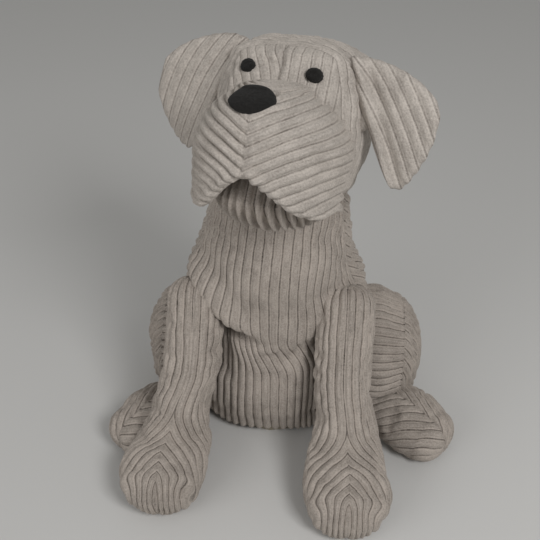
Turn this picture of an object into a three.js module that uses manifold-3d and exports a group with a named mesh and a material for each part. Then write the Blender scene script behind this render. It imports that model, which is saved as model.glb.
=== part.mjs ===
// Weighted fabric door stop: a sitting dog sewn from wide-wale corduroy, stuffed with fibre and
// weighted with a bag of sand. Millimetres, +Z up. The dog faces -Y, so its left side is +X.
// The origin is the middle of the flat underside of the body.
import * as THREE from 'three';
import { mergeVertices } from 'three/addons/utils/BufferGeometryUtils.js';
import Module from 'manifold-3d';

const wasm = await Module();
wasm.setup();

// Cloth, and the room that sewn and stuffed pieces leave each other
const clothThickness = 1.8;
const waleSpacing = 6.2;
const walesPerRidge = 2;
const waleHeight = 1.2;
const seamGap = 0.4;
const restGap = 0.35;

// Body, from the flat base up to the neck
const baseWidth = 120;
const baseDepth = 116;
const bellyWidth = 134;
const bellyDepth = 131;
const bellyHeight = 40;
const waistWidth = 131;
const waistDepth = 109;
const waistHeight = 105;
const chestWidth = 109;
const chestDepth = 108;
const chestHeight = 142;
const neckWidth = 88;
const neckDepth = 80;
const neckHeight = 186;
const neckTopWidth = 80;
const neckTopDepth = 64;
const neckTopHeight = 212;
const neckLean = 18;
const neckAside = 8;
const neckTuck = 12;
const frontSeamHalfWidth = 46;
const sandBagHeight = 46;

// Head: its middle above the top of the neck, and how it is turned and raised
const headAboveNeck = 35;
const headForward = 29;
const headAside = 14;
const headTurn = -15;
const headRaise = 22;
const headRoll = -2.5;
const headWidth = 89;
const headDepth = 92;
const crownHeight = 47;
const headDrop = 50;
const faceSeamForward = 34;
const backSeamForward = -4;

// Muzzle, from the middle of the head
const muzzleWidth = 88;
const muzzleReach = 87;
const muzzleTop = 26;
const jowlDrop = 46;
const hemRise = 20;
const chinWidth = 58;
const chinDepth = 55;
const chinForward = 34;
const chinDrop = 62;
const noseWidth = 27;
const noseHeight = 17;
const noseUp = 14;
const noseThickness = 2.4;
const eyeDiameter = 9.6;
const eyeThickness = 3;
const eyeSpacing = 39;
const eyeUp = 28;

// Ears: where the upper end of the sewn edge lies on the head, the flap and its two layers
const earRootAside = 32;
const earRootUp = 42;
const earRootForward = 14.5;
const earWidth = 41;
const earLength = 80;
const earLayer = 2.6;
const earSewnShare = 0.54;
const earTuck = 16;
const earBow = 9;
const earLean = 21;
const leftEarSweep = 2;
const rightEarSweep = 5;
const leftEarPitch = 0;
const rightEarPitch = 18;
const leftEarRise = 0;
const rightEarRise = 7;

// Front legs and paws
const shoulderHeight = 116;
const shoulderSpacing = 104;
const shoulderForward = 42;
const legDiameter = 39;
const leftPawAside = 59;
const rightPawAside = 68;
const leftPawReach = 154;
const rightPawReach = 146;
const pawWidth = 59;
const pawHeight = 42;

// Hind legs
const leftThighReach = 111;
const rightThighReach = 97;
const thighDiameter = 94;
const thighBack = 0;
const thighHeight = 43;
const thighSideWidth = 14;
const thighRound = 34;
const thighInner = 32;
const leftHeelAside = 76;
const rightHeelAside = 62;
const leftHeelForward = 30;
const rightHeelForward = 38;
const hindFootLength = 79;
const hindFootWidth = 50;
const hindFootHeight = 38;
const leftFootTurn = 50;
const rightFootTurn = 40;

// How finely the cloth is drawn
const fillingColumns = 12;
const columnsPerRoomSide = 2;

const right = new THREE.Vector3();
const front = new THREE.Vector3();
const along = new THREE.Vector3();
const radians = THREE.MathUtils.degToRad;

// One section of a stuffed form. Tilt 0 lies level with the form running down, tilt 90 stands up
// with the form running forward, and turn swings it about Z.
function section(x, y, z, halfWidth, frontDepth, backDepth, tilt = 0, turn = 0) {
  return [x, y, z, halfWidth, frontDepth, backDepth, tilt, turn];
}

function curveThrough(a, b, c, d, t) {
  const slopeIn = (c - a) / 2;
  const slopeOut = (d - b) / 2;
  const t2 = t * t;
  const t3 = t2 * t;
  return (2 * t3 - 3 * t2 + 1) * b + (t3 - 2 * t2 + t) * slopeIn
    + (3 * t2 - 2 * t3) * c + (t3 - t2) * slopeOut;
}

function sectionAt(sections, t) {
  const last = sections.length - 1;
  const index = Math.min(Math.floor(t * last), last - 1);
  const pick = (step) => sections[THREE.MathUtils.clamp(index + step, 0, last)];
  const [a, b, c, d] = [pick(-1), pick(0), pick(1), pick(2)];
  return b.map((_, k) => curveThrough(a[k], b[k], c[k], d[k], t * last - index));
}

function setAxes(tilt, turn) {
  const t = radians(tilt);
  const up = new THREE.Vector3(0, 0, 1);
  right.set(1, 0, 0).applyAxisAngle(up, radians(turn));
  front.set(0, -Math.cos(t), Math.sin(t)).applyAxisAngle(up, radians(turn));
  along.set(0, -Math.sin(t), -Math.cos(t)).applyAxisAngle(up, radians(turn));
}

function roundedPower(value, power) {
  return Math.sign(value) * Math.abs(value) ** power;
}

// A closed ring of points on one section. Scale and lift draw the rounded ends.
function ringOf(form, t, columns, grow, grooves, scale, lift) {
  const [x, y, z, halfWidth, frontDepth, backDepth, tilt, turn] = sectionAt(form.sections, t);
  setAxes(tilt, turn);
  const ring = [];
  for (let k = 0; k < columns; k += 1) {
    const angle = (2 * Math.PI * k) / columns;
    const inset = grooves && k % 2 === 1 ? waleHeight : 0;
    const wide = (halfWidth + grow - inset) * scale;
    const deep = ((Math.cos(angle) > 0 ? frontDepth : backDepth) + grow - inset) * scale;
    const power = 2 / form.squareness;
    const sideways = wide * roundedPower(Math.sin(angle), power);
    const forward = deep * roundedPower(Math.cos(angle), power);
    const point = new THREE.Vector3(x, y, z)
      .addScaledVector(right, sideways)
      .addScaledVector(front, forward)
      .addScaledVector(along, lift);
    if (form.onFloor) point.z = Math.max(point.z, -grow);
    ring.push(point);
  }
  return ring;
}

function endRings(form, t, columns, grow, grooves, cap, sign) {
  const rings = [];
  for (let k = 1; k < form.capRings; k += 1) {
    const angle = (k / form.capRings) * (Math.PI / 2);
    const lift = sign * (cap + grow) * Math.sin(angle);
    rings.push(ringOf(form, t, columns, grow, grooves, Math.cos(angle), lift));
  }
  return rings;
}

// All rings of a stuffed form from its start to its end, and the two end points
function ringsOf(form, columns, grow, grooves, rows) {
  const middle = [];
  for (let k = 0; k <= rows; k += 1) {
    middle.push(ringOf(form, k / rows, columns, grow, grooves, 1, 0));
  }
  const before = form.startCap > 0
    ? endRings(form, 0, columns, grow, grooves, form.startCap, -1).reverse() : [];
  const after = form.endCap > 0
    ? endRings(form, 1, columns, grow, grooves, form.endCap, 1) : [];
  return [...before, ...middle, ...after];
}

function poleOf(form, t, grow, cap, sign) {
  const [x, y, z, , , , tilt, turn] = sectionAt(form.sections, t);
  setAxes(tilt, turn);
  const lift = cap > 0 ? sign * (cap + grow) : 0;
  const pole = new THREE.Vector3(x, y, z).addScaledVector(along, lift);
  if (form.onFloor) pole.z = Math.max(pole.z, -grow);
  return pole;
}

function turnedOut(positions, faces) {
  const geometry = new THREE.BufferGeometry();
  geometry.setAttribute('position', new THREE.Float32BufferAttribute(positions, 3));
  let volume = 0;
  const corner = [0, 1, 2].map(() => new THREE.Vector3());
  for (let k = 0; k < faces.length; k += 3) {
    corner.forEach((v, j) => v.fromArray(positions, faces[k + j] * 3));
    volume += corner[0].dot(corner[1].clone().cross(corner[2]));
  }
  geometry.setIndex(volume < 0 ? faces.slice().reverse() : faces);
  return geometry;
}

function stuffedForm(form, { columns, grow = 0, grooves = false, rows = form.rows }) {
  const rings = ringsOf(form, columns, grow, grooves, rows);
  const points = rings.flat();
  const faces = [];
  for (let r = 0; r < rings.length - 1; r += 1) {
    for (let k = 0; k < columns; k += 1) {
      const next = (k + 1) % columns;
      const a = r * columns + k;
      const b = r * columns + next;
      const c = a + columns;
      const d = b + columns;
      faces.push(a, b, d, a, d, c);
    }
  }
  const top = points.push(poleOf(form, 0, grow, form.startCap, -1)) - 1;
  const bottom = points.push(poleOf(form, 1, grow, form.endCap, 1)) - 1;
  const lastRing = (rings.length - 1) * columns;
  for (let k = 0; k < columns; k += 1) {
    const next = (k + 1) % columns;
    faces.push(top, next, k, bottom, lastRing + k, lastRing + next);
  }
  return turnedOut(points.flatMap((point) => point.toArray()), faces);
}

// Joining and cutting
function solidOf(geometry) {
  const bare = geometry.clone();
  bare.deleteAttribute('normal');
  bare.deleteAttribute('uv');
  const merged = mergeVertices(bare, 1e-4);
  return new wasm.Manifold(new wasm.Mesh({
    numProp: 3,
    vertProperties: new Float32Array(merged.attributes.position.array),
    triVerts: new Uint32Array(merged.index.array),
  }));
}

function geometryOf(solid) {
  const { numProp, vertProperties, triVerts } = solid.getMesh();
  const positions = [];
  for (let k = 0; k < vertProperties.length; k += numProp) {
    positions.push(vertProperties[k], vertProperties[k + 1], vertProperties[k + 2]);
  }
  const geometry = new THREE.BufferGeometry();
  geometry.setAttribute('position', new THREE.Float32BufferAttribute(positions, 3));
  geometry.setIndex([...triVerts]);
  return geometry;
}

function cut(solid, ...others) {
  return others.reduce((left, other) => left.subtract(other), solid);
}

const farAway = 600;

// A block that reaches from one corner to the other, for keeping part of a solid
function block(low, high) {
  const size = high.map((value, k) => value - low[k]);
  const geometry = new THREE.BoxGeometry(...size);
  geometry.translate(...low.map((value, k) => value + size[k] / 2));
  return solidOf(geometry);
}

const everywhere = { x: [-farAway, farAway], y: [-farAway, farAway], z: [-farAway, farAway] };

function keep(solid, limits) {
  const { x, y, z } = { ...everywhere, ...limits };
  return solid.intersect(block([x[0], y[0], z[0]], [x[1], y[1], z[1]]));
}

function widestHalf(form) {
  return Math.max(...form.sections.map((s) => (s[3] + (s[4] + s[5]) / 2) / 2));
}

function waleColumns(form) {
  const ridges = (2 * Math.PI * widestHalf(form)) / (waleSpacing * walesPerRidge);
  return columnsPerRoomSide * Math.round((2 * ridges) / columnsPerRoomSide);
}

// The layers of one stuffed unit: the ribbed outside, the room kept round it, the inside of the
// cloth and the filling.
const clothInset = -(waleHeight + clothThickness);

function outside(form) {
  return stuffedForm(form, { columns: form.columns, grooves: true });
}

function roomAround(form, gap = restGap) {
  const columns = form.columns / columnsPerRoomSide;
  const flatness = 1.6 * widestHalf(form) * (1 - Math.cos(Math.PI / columns));
  return stuffedForm(form, { columns, grow: gap + flatness });
}

// The same with every ridge in it, so that what is trimmed to it lies right on the cloth
function closeRoomAround(form) {
  return stuffedForm(form, { columns: form.columns, grow: restGap });
}

function clothInside(form) {
  return stuffedForm(form, { columns: fillingColumns, grow: clothInset });
}

function filling(form) {
  return stuffedForm(form, { columns: fillingColumns, grow: clothInset - restGap });
}

function prepared(form) {
  const finished = {
    squareness: 2, startCap: 0, endCap: 0, capRings: 2, onFloor: false, rows: 5, ...form,
  };
  finished.columns = waleColumns(finished);
  return finished;
}

// Corduroy, felt and what is inside
const colours = {
  corduroy: 0x9a9085,
  headCorduroy: 0xb3aca2,
  felt: 0x1b1a1b,
  cotton: 0xcfc6b4,
  fibre: 0xe8e6e0,
};

function material(colour, roughness = 0.95) {
  return new THREE.MeshStandardMaterial({ color: colour, roughness, metalness: 0 });
}

const dog = new THREE.Group();
const head = new THREE.Group();

function addPiece(parent, name, solid, colour, roughness) {
  const mesh = new THREE.Mesh(geometryOf(solid), material(colour, roughness));
  mesh.name = name;
  parent.add(mesh);
}

// Body: rings from the neck down to the floor
function bodySection(asideShare, leanShare, z, width, depth) {
  return section(
    neckAside * asideShare, -neckLean * leanShare, z, width / 2, depth / 2, depth / 2,
  );
}

const bodyForm = prepared({
  sections: [
    bodySection(1, 1.2, neckTopHeight + neckTuck, neckTopWidth * 0.95, neckTopDepth * 0.94),
    bodySection(0.9, 1.15, neckTopHeight, neckTopWidth, neckTopDepth),
    bodySection(0.5, 0.75, neckHeight, neckWidth, neckDepth),
    bodySection(0.05, 0.4, chestHeight, chestWidth, chestDepth),
    bodySection(0, 0.05, waistHeight, waistWidth, waistDepth),
    bodySection(0, 0, bellyHeight, bellyWidth, bellyDepth),
    bodySection(0, 0, bellyHeight / 3, bellyWidth * 0.98, bellyDepth * 0.96),
    bodySection(0, 0, 0, baseWidth, baseDepth),
    bodySection(0, 0, -neckTuck, baseWidth, baseDepth),
  ],
  squareness: 2.15,
  rows: 8,
});

const bodyRoom = keep(solidOf(roomAround(bodyForm)), { z: [-farAway, neckTopHeight + restGap] });

function addBody() {
  const whole = solidOf(outside(bodyForm)).subtract(solidOf(clothInside(bodyForm)));
  const cloth = keep(whole, { z: [0, neckTopHeight] });
  const seam = frontSeamHalfWidth;
  const frontPanel = { x: [-seam, seam], y: [-farAway, -seamGap / 2] };
  const backPanel = { x: [-seam, seam], y: [seamGap / 2, farAway] };
  addPiece(dog, 'chest_panel', keep(cloth, frontPanel), colours.corduroy);
  addPiece(dog, 'back_panel', keep(cloth, backPanel), colours.corduroy);
  addPiece(dog, 'side_panel_left', keep(cloth, { x: [seam + seamGap, farAway] }), colours.corduroy);
  addPiece(dog, 'side_panel_right', keep(cloth, { x: [-farAway, -seam - seamGap] }), colours.corduroy);

  const stuffing = keep(solidOf(filling(bodyForm)), { z: [-farAway, neckTopHeight] });
  const basePanel = keep(stuffing, { z: [0, clothThickness] });
  const bagTop = clothThickness + restGap + sandBagHeight;
  const sandBag = keep(stuffing, { z: [clothThickness + restGap, bagTop] });
  addPiece(dog, 'base_panel', basePanel, colours.cotton);
  addPiece(dog, 'sand_bag', sandBag, colours.cotton);
  addPiece(dog, 'body_filling', keep(stuffing, { z: [bagTop + restGap, farAway] }), colours.fibre);
}

// Front legs: each runs down from the shoulder and forward into a paw that lies on the floor
function legForm(side) {
  const shoulderX = (side * shoulderSpacing) / 2;
  const pawX = side > 0 ? leftPawAside : -rightPawAside;
  const reach = side > 0 ? leftPawReach : rightPawReach;
  const ankleX = shoulderX + (pawX - shoulderX) * 0.5;
  const half = legDiameter / 2;
  const paw = pawWidth / 2;
  const high = pawHeight / 2;
  const archX = (ankleX + pawX) / 2;
  const endCap = pawHeight * 0.42;
  const toe = reach - endCap;
  const kneeForward = shoulderForward + (toe - shoulderForward) * 0.275;
  return prepared({
    sections: [
      section(shoulderX, -shoulderForward, shoulderHeight, half * 0.95, half * 0.8, half * 0.85, 10),
      section(shoulderX, -kneeForward, shoulderHeight * 0.68, half, half, half, 16),
      section(ankleX, -toe * 0.64, pawHeight * 1.3, half * 1.05, half * 0.95, half, 28),
      section(archX, -toe * 0.76, pawHeight * 0.8, paw * 0.87, half * 0.9, half * 1.15, 54),
      section(pawX, -toe * 0.9, high * 1.1, paw, high, high * 1.2, 78),
      section(pawX, -toe, high, paw * 0.9, high * 0.9, high * 1.15, 90),
    ],
    startCap: legDiameter * 0.36,
    endCap,
    onFloor: true,
    seamX: ankleX,
  });
}

function addLeg(side, name) {
  const form = legForm(side);
  const cloth = cut(solidOf(outside(form)), solidOf(clothInside(form)), bodyRoom);
  const seam = form.seamX;
  const inner = side > 0 ? [-farAway, seam - seamGap / 2] : [seam + seamGap / 2, farAway];
  const outer = side > 0 ? [seam + seamGap / 2, farAway] : [-farAway, seam - seamGap / 2];
  addPiece(dog, `front_leg_${name}_outer`, keep(cloth, { x: outer }), colours.corduroy);
  addPiece(dog, `front_leg_${name}_inner`, keep(cloth, { x: inner }), colours.corduroy);
  const stuffing = cut(solidOf(filling(form)), bodyRoom);
  addPiece(dog, `front_leg_${name}_filling`, stuffing, colours.fibre);
  return solidOf(roomAround(form));
}

// Hind legs: a round thigh standing at each side, and a foot that points forward and out
function thighForm(side) {
  const half = thighDiameter / 2;
  const turn = side * 90;
  const reach = side > 0 ? leftThighReach : rightThighReach;
  const widest = reach - thighRound;
  const slice = (x, share, lowerShare) => section(
    side * x, thighBack, thighHeight, half * share, half * share, half * lowerShare, 90, turn,
  );
  return prepared({
    sections: [
      slice(widest - thighInner, 0.79, 0.87),
      slice(widest - thighInner * 0.44, 0.96, 1),
      slice(widest, 1, 1.04),
      slice(widest + thighRound * 0.35, 0.92, 1),
    ],
    endCap: thighRound * 0.65,
    onFloor: true,
    rows: 3,
    edge: reach - thighSideWidth,
  });
}

function footForm(side) {
  const footTurn = side > 0 ? leftFootTurn : rightFootTurn;
  const heelX = side > 0 ? leftHeelAside : rightHeelAside;
  const heelForward = side > 0 ? leftHeelForward : rightHeelForward;
  const endCap = hindFootHeight * 0.42;
  const heelCap = hindFootHeight * 0.26;
  const straight = hindFootLength - endCap - heelCap;
  const half = hindFootWidth / 2;
  const high = hindFootHeight / 2;
  const stretch = (share, wide, tall) => section(
    side * (heelX + Math.sin(radians(footTurn)) * straight * share),
    -heelForward - Math.cos(radians(footTurn)) * straight * share,
    tall, wide, tall, tall * 1.15, 90, side * footTurn,
  );
  return prepared({
    sections: [
      stretch(0, half * 0.8, high * 0.9),
      stretch(0.4, half * 0.96, high),
      stretch(0.75, half, high),
      stretch(1, half * 0.88, high * 0.9),
    ],
    startCap: heelCap,
    endCap,
    onFloor: true,
    rows: 3,
  });
}

function addHindLeg(side, name, legRoom) {
  const thigh = thighForm(side);
  const foot = footForm(side);
  const thighRoom = solidOf(roomAround(thigh));
  const cloth = cut(solidOf(outside(thigh)), solidOf(clothInside(thigh)), bodyRoom, legRoom);
  const edge = side * thigh.edge;
  const gusset = side > 0 ? [-farAway, edge - seamGap / 2] : [edge + seamGap / 2, farAway];
  const disc = side > 0 ? [edge + seamGap / 2, farAway] : [-farAway, edge - seamGap / 2];
  addPiece(dog, `thigh_${name}_gusset`, keep(cloth, { x: gusset }), colours.corduroy);
  addPiece(dog, `thigh_${name}_side`, keep(cloth, { x: disc }), colours.corduroy);
  const stuffing = cut(solidOf(filling(thigh)), bodyRoom, legRoom);
  addPiece(dog, `thigh_${name}_filling`, stuffing, colours.fibre);

  const neighbours = [thighRoom, bodyRoom, legRoom];
  const footCloth = cut(solidOf(outside(foot)), solidOf(clothInside(foot)), ...neighbours);
  addPiece(dog, `hind_foot_${name}_cover`, footCloth, colours.corduroy);
  const footStuffing = cut(solidOf(filling(foot)), ...neighbours);
  addPiece(dog, `hind_foot_${name}_filling`, footStuffing, colours.fibre);
}

// Head, drawn about its own middle and then turned and raised on the neck
function placeHead() {
  const yaw = new THREE.Quaternion().setFromAxisAngle(new THREE.Vector3(0, 0, 1), radians(headTurn));
  const pitch = new THREE.Quaternion().setFromAxisAngle(new THREE.Vector3(1, 0, 0), -radians(headRaise));
  const roll = new THREE.Quaternion().setFromAxisAngle(new THREE.Vector3(0, 1, 0), radians(headRoll));
  head.quaternion.copy(yaw.multiply(pitch).multiply(roll));
  head.position.set(headAside, -headForward, neckTopHeight + headAboveNeck);
  head.updateMatrixWorld(true);
  dog.add(head);
}

const halfHead = headWidth / 2;
const halfHeadDepth = headDepth / 2;
function headSection(z, wideShare, frontShare, backShare) {
  const wide = halfHead * wideShare;
  return section(0, 0, z, wide, halfHeadDepth * frontShare, halfHeadDepth * backShare);
}

const headForm = prepared({
  sections: [
    headSection(crownHeight * 0.72, 0.92, 0.84, 0.86),
    headSection(crownHeight * 0.3, 0.98, 1, 0.98),
    headSection(-headDrop * 0.25, 1, 1.11, 0.88),
    headSection(-headDrop * 0.65, 0.88, 1.03, 0.72),
  ],
  squareness: 2.6,
  startCap: crownHeight * 0.28,
  endCap: headDrop * 0.35,
  capRings: 3,
  rows: 3,
});

const muzzleHalf = muzzleWidth / 2;
const muzzleBack = headDepth * 0.28;

// The back of the muzzle lies inside the head, where it is trimmed away
function muzzleSection(z, wideShare, reachShare) {
  const ahead = muzzleReach * reachShare - muzzleBack;
  return section(0, -muzzleBack, z, muzzleHalf * wideShare, ahead, muzzleBack * 0.7);
}

const muzzleForm = prepared({
  sections: [
    muzzleSection(muzzleTop * 0.7, 0.5, 0.87),
    muzzleSection(muzzleTop * 0.3, 0.78, 0.98),
    muzzleSection(-jowlDrop * 0.2, 1, 1),
    muzzleSection(-jowlDrop * 0.6, 1, 0.97),
    muzzleSection(-jowlDrop, 0.95, 0.9),
    muzzleSection(-jowlDrop * 1.3, 0.9, 0.86),
  ],
  squareness: 2.3,
  startCap: muzzleTop * 0.3,
  rows: 4,
});

function chinSection(z, share) {
  const ahead = chinDepth * 0.55 * share;
  return section(0, -chinForward, z, (chinWidth / 2) * share, ahead, ahead * 0.8);
}

const chinForm = prepared({
  sections: [
    chinSection(-jowlDrop * 0.62, 0.85),
    chinSection(-jowlDrop * 0.95, 1),
  ],
  startCap: jowlDrop * 0.13,
  endCap: chinDrop - jowlDrop * 0.95,
  rows: 1,
});

function inHeadFrame(geometry) {
  return solidOf(geometry.clone().applyMatrix4(head.matrixWorld.clone().invert()));
}

// What is left of the muzzle after its hem is cut: high in the middle, low at the jowls
function hemCutter() {
  const outline = new THREE.Shape();
  const low = -jowlDrop - farAway / 10;
  outline.moveTo(-farAway / 4, low);
  outline.lineTo(farAway / 4, low);
  outline.lineTo(farAway / 4, -jowlDrop + hemRise * 0.3);
  outline.lineTo(muzzleHalf * 0.9, -jowlDrop + hemRise * 0.05);
  outline.quadraticCurveTo(muzzleHalf * 0.45, -jowlDrop, 0, -jowlDrop + hemRise);
  outline.quadraticCurveTo(-muzzleHalf * 0.45, -jowlDrop, -muzzleHalf * 0.9, -jowlDrop + hemRise * 0.05);
  outline.lineTo(-farAway / 4, -jowlDrop + hemRise * 0.3);
  outline.closePath();
  const geometry = new THREE.ExtrudeGeometry(outline, {
    depth: farAway, bevelEnabled: false, curveSegments: 6,
  });
  geometry.rotateX(Math.PI / 2);
  geometry.translate(0, farAway / 2, 0);
  return solidOf(geometry);
}

function addHead() {
  const neck = inHeadFrame(roomAround(bodyForm));
  const cloth = cut(solidOf(outside(headForm)), solidOf(clothInside(headForm)), neck);
  const face = { y: [-farAway, -faceSeamForward - seamGap / 2] };
  const bandFront = -faceSeamForward + seamGap / 2;
  const bandBack = -backSeamForward - seamGap / 2;
  const leftFace = { ...face, x: [seamGap / 2, farAway] };
  const rightFace = { ...face, x: [-farAway, -seamGap / 2] };
  addPiece(head, 'face_panel_left', keep(cloth, leftFace), colours.headCorduroy);
  addPiece(head, 'face_panel_right', keep(cloth, rightFace), colours.headCorduroy);
  addPiece(head, 'head_band', keep(cloth, { y: [bandFront, bandBack] }), colours.headCorduroy);
  addPiece(head, 'head_back', keep(cloth, { y: [bandBack + seamGap, farAway] }), colours.headCorduroy);
  addPiece(head, 'head_filling', cut(solidOf(filling(headForm)), neck), colours.fibre);

  const headRoom = solidOf(roomAround(headForm));
  const muzzleInside = solidOf(clothInside(muzzleForm));
  const hem = hemCutter();
  const muzzleCloth = cut(solidOf(outside(muzzleForm)), muzzleInside, headRoom, neck, hem);
  const leftHalf = { x: [seamGap / 2, farAway] };
  const rightHalf = { x: [-farAway, -seamGap / 2] };
  addPiece(head, 'muzzle_left', keep(muzzleCloth, leftHalf), colours.headCorduroy);
  addPiece(head, 'muzzle_right', keep(muzzleCloth, rightHalf), colours.headCorduroy);

  const chinRoom = solidOf(roomAround(chinForm));
  const chin = cut(solidOf(outside(chinForm)), headRoom, neck);
  addPiece(head, 'chin_panel', chin, colours.headCorduroy);
  const stuffing = keep(solidOf(filling(muzzleForm)), { z: [-jowlDrop + hemRise, farAway] });
  addPiece(head, 'muzzle_filling', cut(stuffing, headRoom, neck, chinRoom), colours.fibre);

  addFaceDetails();
}

// A patch that lies on a stuffed form: an oval of a given size, as thick as its felt
function patchOn(form, x, z, width, height, thickness) {
  const outline = new THREE.CylinderGeometry(width / 2, width / 2, farAway / 6, 20);
  outline.scale(1, 1, height / width);
  outline.translate(x, -farAway / 12 - headDepth / 4, z);
  const pad = solidOf(roomAround(form, restGap + thickness));
  return pad.intersect(solidOf(outline)).subtract(solidOf(roomAround(form)));
}

function addFaceDetails() {
  const nose = patchOn(muzzleForm, 0, noseUp, noseWidth, noseHeight, noseThickness);
  addPiece(head, 'nose_patch', nose, colours.felt);
  for (const [side, name] of [[1, 'left'], [-1, 'right']]) {
    const x = (side * eyeSpacing) / 2;
    const eye = patchOn(headForm, x, eyeUp, eyeDiameter, eyeDiameter, eyeThickness);
    addPiece(head, `eye_${name}`, eye, colours.felt);
  }
}

// Ears: flat double flaps. Across runs over the wales, down runs along them. The part of the flap
// before across = 0 is the sewn edge, which is trimmed to the side of the head.
function earEdge(across) {
  const share = THREE.MathUtils.clamp(across / earWidth, 0, 1);
  if (across < 0) return { upper: earLength * 0.05, lower: earLength * earSewnShare };
  return {
    upper: earLength * (0.05 + 0.41 * share ** 1.5 + 0.07 * share ** 8),
    lower: earLength * (1 - 0.36 * share ** 2.6 - 0.08 * share ** 8),
  };
}

function earPoint(side, across, down, depth) {
  const lean = radians(earLean);
  const out = across * Math.cos(lean) + down * Math.sin(lean);
  const below = down * Math.cos(lean) - across * Math.sin(lean);
  const sweep = radians(side > 0 ? leftEarSweep : rightEarSweep);
  const pitch = radians(side > 0 ? leftEarPitch : rightEarPitch);
  const rise = side > 0 ? leftEarRise : rightEarRise;
  const free = THREE.MathUtils.clamp(across / earWidth, 0, 1);
  const bow = earBow * free * Math.sin((Math.PI * below) / earLength);
  return [
    side * (earRootAside + out * Math.cos(sweep)),
    -earRootForward + out * Math.sin(sweep) + below * Math.sin(pitch) * free - bow - depth,
    earRootUp + rise - below * Math.cos(pitch),
  ];
}

function earFlap(side, near, far, ribbedNear) {
  const columns = 2 * Math.round((earWidth + earTuck) / waleSpacing) + 1;
  const rows = 3;
  const positions = [];
  const faces = [];
  const index = (layer, k, r) => (layer * columns + k) * (rows + 1) + r;
  for (const layer of [0, 1]) {
    const ribbed = (layer === 0) === ribbedNear;
    for (let k = 0; k < columns; k += 1) {
      const across = ((earWidth + earTuck) * k) / (columns - 1) - earTuck;
      const { upper, lower } = earEdge(across);
      const groove = ribbed && k % 2 === 0 ? waleHeight * (layer === 0 ? 1 : -1) : 0;
      for (let r = 0; r <= rows; r += 1) {
        const down = upper + ((lower - upper) * r) / rows;
        positions.push(...earPoint(side, across, down, (layer === 0 ? near : far) + groove));
      }
    }
  }
  const quad = (a, b, c, d) => faces.push(a, b, c, a, c, d);
  for (let k = 0; k < columns - 1; k += 1) {
    for (let r = 0; r < rows; r += 1) {
      quad(index(0, k, r), index(0, k + 1, r), index(0, k + 1, r + 1), index(0, k, r + 1));
      quad(index(1, k, r), index(1, k, r + 1), index(1, k + 1, r + 1), index(1, k + 1, r));
    }
    quad(index(0, k, 0), index(1, k, 0), index(1, k + 1, 0), index(0, k + 1, 0));
    quad(index(0, k, rows), index(0, k + 1, rows), index(1, k + 1, rows), index(1, k, rows));
  }
  for (let r = 0; r < rows; r += 1) {
    const last = columns - 1;
    quad(index(0, 0, r), index(0, 0, r + 1), index(1, 0, r + 1), index(1, 0, r));
    quad(index(0, last, r), index(1, last, r), index(1, last, r + 1), index(0, last, r + 1));
  }
  return turnedOut(positions, faces);
}

function addEars() {
  const rooms = [headForm, muzzleForm].map((form) => solidOf(closeRoomAround(form)));
  for (const [side, name] of [[1, 'left'], [-1, 'right']]) {
    const backLayer = solidOf(earFlap(side, 0, earLayer, true));
    const frontStart = earLayer + restGap;
    const frontLayer = solidOf(earFlap(side, frontStart, frontStart + earLayer, false));
    addPiece(head, `ear_${name}_back`, cut(backLayer, ...rooms), colours.corduroy);
    addPiece(head, `ear_${name}_front`, cut(frontLayer, ...rooms), colours.headCorduroy);
  }
}

placeHead();
addBody();
for (const [side, name] of [[1, 'left'], [-1, 'right']]) {
  const legRoom = addLeg(side, name);
  addHindLeg(side, name, legRoom);
}
addHead();
addEars();

export default dog;
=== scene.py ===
import math

import bmesh
import bpy
import numpy as np
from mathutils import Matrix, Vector, kdtree


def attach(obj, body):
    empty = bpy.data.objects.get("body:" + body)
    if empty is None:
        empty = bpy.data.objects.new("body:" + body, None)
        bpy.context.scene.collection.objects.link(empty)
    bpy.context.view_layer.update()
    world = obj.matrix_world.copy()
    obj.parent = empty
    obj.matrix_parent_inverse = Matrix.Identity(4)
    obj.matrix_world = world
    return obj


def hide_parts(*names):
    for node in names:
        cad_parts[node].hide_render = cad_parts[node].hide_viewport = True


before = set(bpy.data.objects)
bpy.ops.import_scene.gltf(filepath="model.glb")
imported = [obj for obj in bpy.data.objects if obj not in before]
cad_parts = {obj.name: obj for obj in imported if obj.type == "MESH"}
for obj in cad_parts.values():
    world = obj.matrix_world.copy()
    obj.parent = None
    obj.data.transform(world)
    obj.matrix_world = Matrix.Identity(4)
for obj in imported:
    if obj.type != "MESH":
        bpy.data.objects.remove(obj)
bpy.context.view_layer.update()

MM = 0.001
WALE = 6.2                 # from one groove of the corduroy to the next
WALE_HEIGHT = {"body": 1.4, "leg": 1.9, "thigh": 2.6, "foot": 1.9, "head": 0.75, "muzzle": 2.3,
               "chin": 5.2, "ear": 1.0}
CLOTH = 3.0                # cloth and its pile together
CLOTH_CELL = 4.5           # mesh of the simulated cloth
CLOTH_REACH = 2.0          # how far it may move
CLOTH_FRAMES = 20
CLOTH_PRESSURE = 4
CLOTH_STIFFNESS, CLOTH_BENDING = 30, 0.5
CLOTH_SURPLUS = 0.035      # share by which it is cut larger than the form
SEWN_BAND = 6              # how near a seam it is held
GRID = 0.85   # size of the mesh across the wales

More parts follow.
